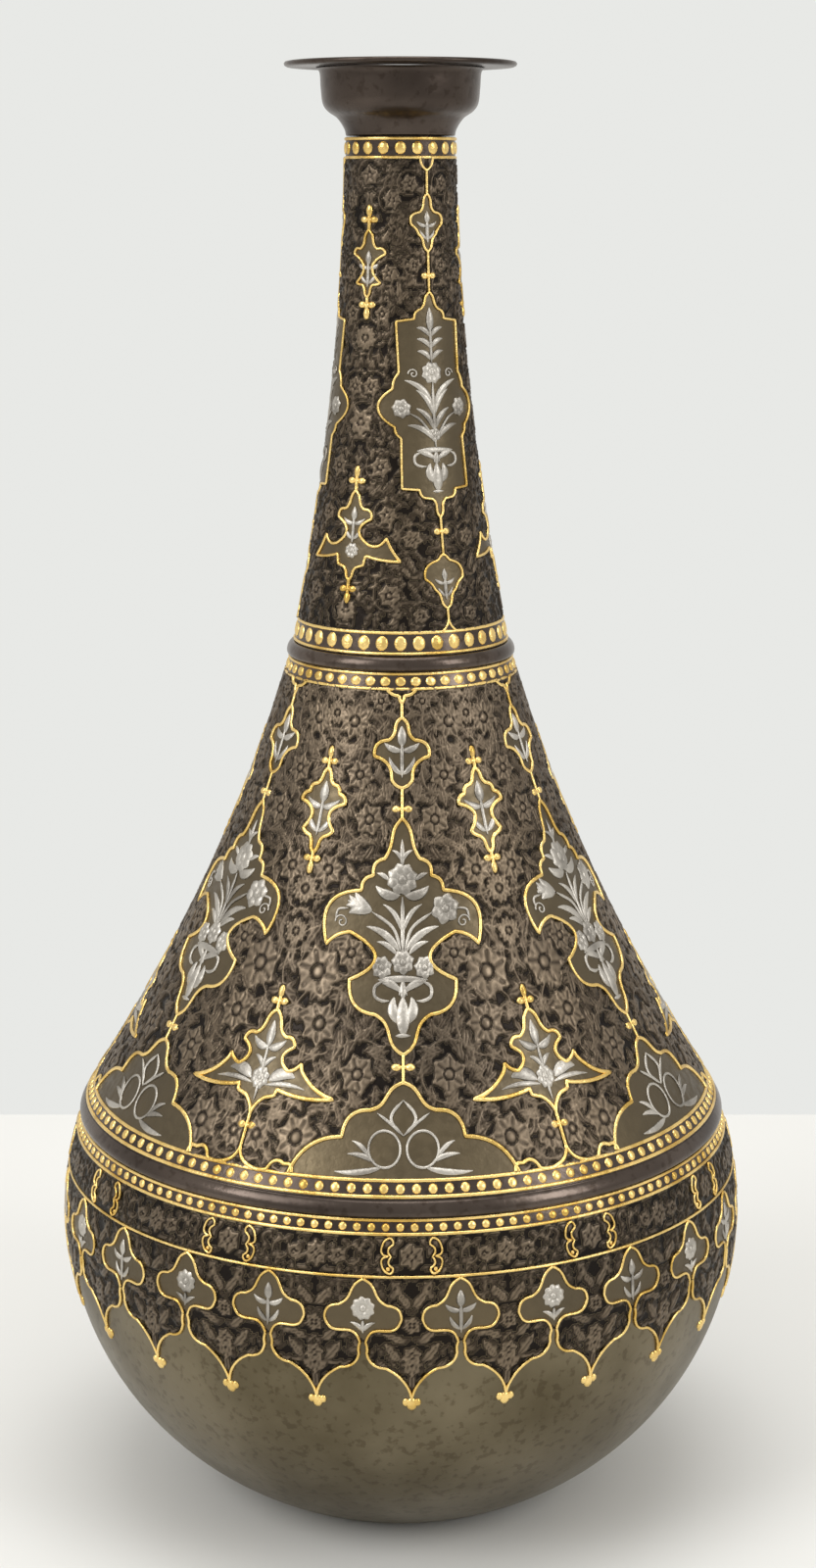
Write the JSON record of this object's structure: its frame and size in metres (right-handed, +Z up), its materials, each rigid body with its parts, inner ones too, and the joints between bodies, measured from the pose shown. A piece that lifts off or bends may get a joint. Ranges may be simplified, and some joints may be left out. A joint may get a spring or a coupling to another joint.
{
  "type": "vase",
  "caption": "Tall bottle vase of dark damascened steel with a round bowl, slender neck, flat rim and gold inlay.",
  "frame": {"origin": "centre of the foot, on the surface the vase stands on", "axes": "+Z up along the vase's axis, -Y is the side that the picture shows"},
  "size_m": [0.1832, 0.1832, 0.38],
  "materials": {
    "bowl_steel": "mottled satin grey-brown steel",
    "dark_steel": "dark brown patinated steel, carved in low relief",
    "gold_inlay": "polished gold wire and sheet inlay"
  },
  "bodies": {
    "root": {"belly_band": "gold_inlay", "belly_line": "gold_inlay", "bowl": "bowl_steel", "collar_moulding": "dark_steel", "girdle_moulding": "dark_steel", "mouth_cup": "dark_steel", "neck": "dark_steel", "neck_base_band": "gold_inlay", "neck_top_band": "gold_inlay", "rim_flange": "dark_steel", "shoulder": "dark_steel", "shoulder_base_band": "gold_inlay", "shoulder_cartouche_1": "gold_inlay", "shoulder_cartouche_2": "gold_inlay", "shoulder_cartouche_3": "gold_inlay", "shoulder_cartouche_4": "gold_inlay", "shoulder_cartouche_5": "gold_inlay", "shoulder_cartouche_6": "gold_inlay", "shoulder_lozenge_1": "gold_inlay", "shoulder_lozenge_2": "gold_inlay", "shoulder_lozenge_3": "gold_inlay", "shoulder_lozenge_4": "gold_inlay", "shoulder_lozenge_5": "gold_inlay", "shoulder_lozenge_6": "gold_inlay", "shoulder_spread_leaf_1": "gold_inlay", "shoulder_spread_leaf_2": "gold_inlay", "shoulder_spread_leaf_3": "gold_inlay", "shoulder_spread_leaf_4": "gold_inlay", "shoulder_spread_leaf_5": "gold_inlay", "shoulder_spread_leaf_6": "gold_inlay", "shoulder_top_band": "gold_inlay"}
  },
  "joints": []
}
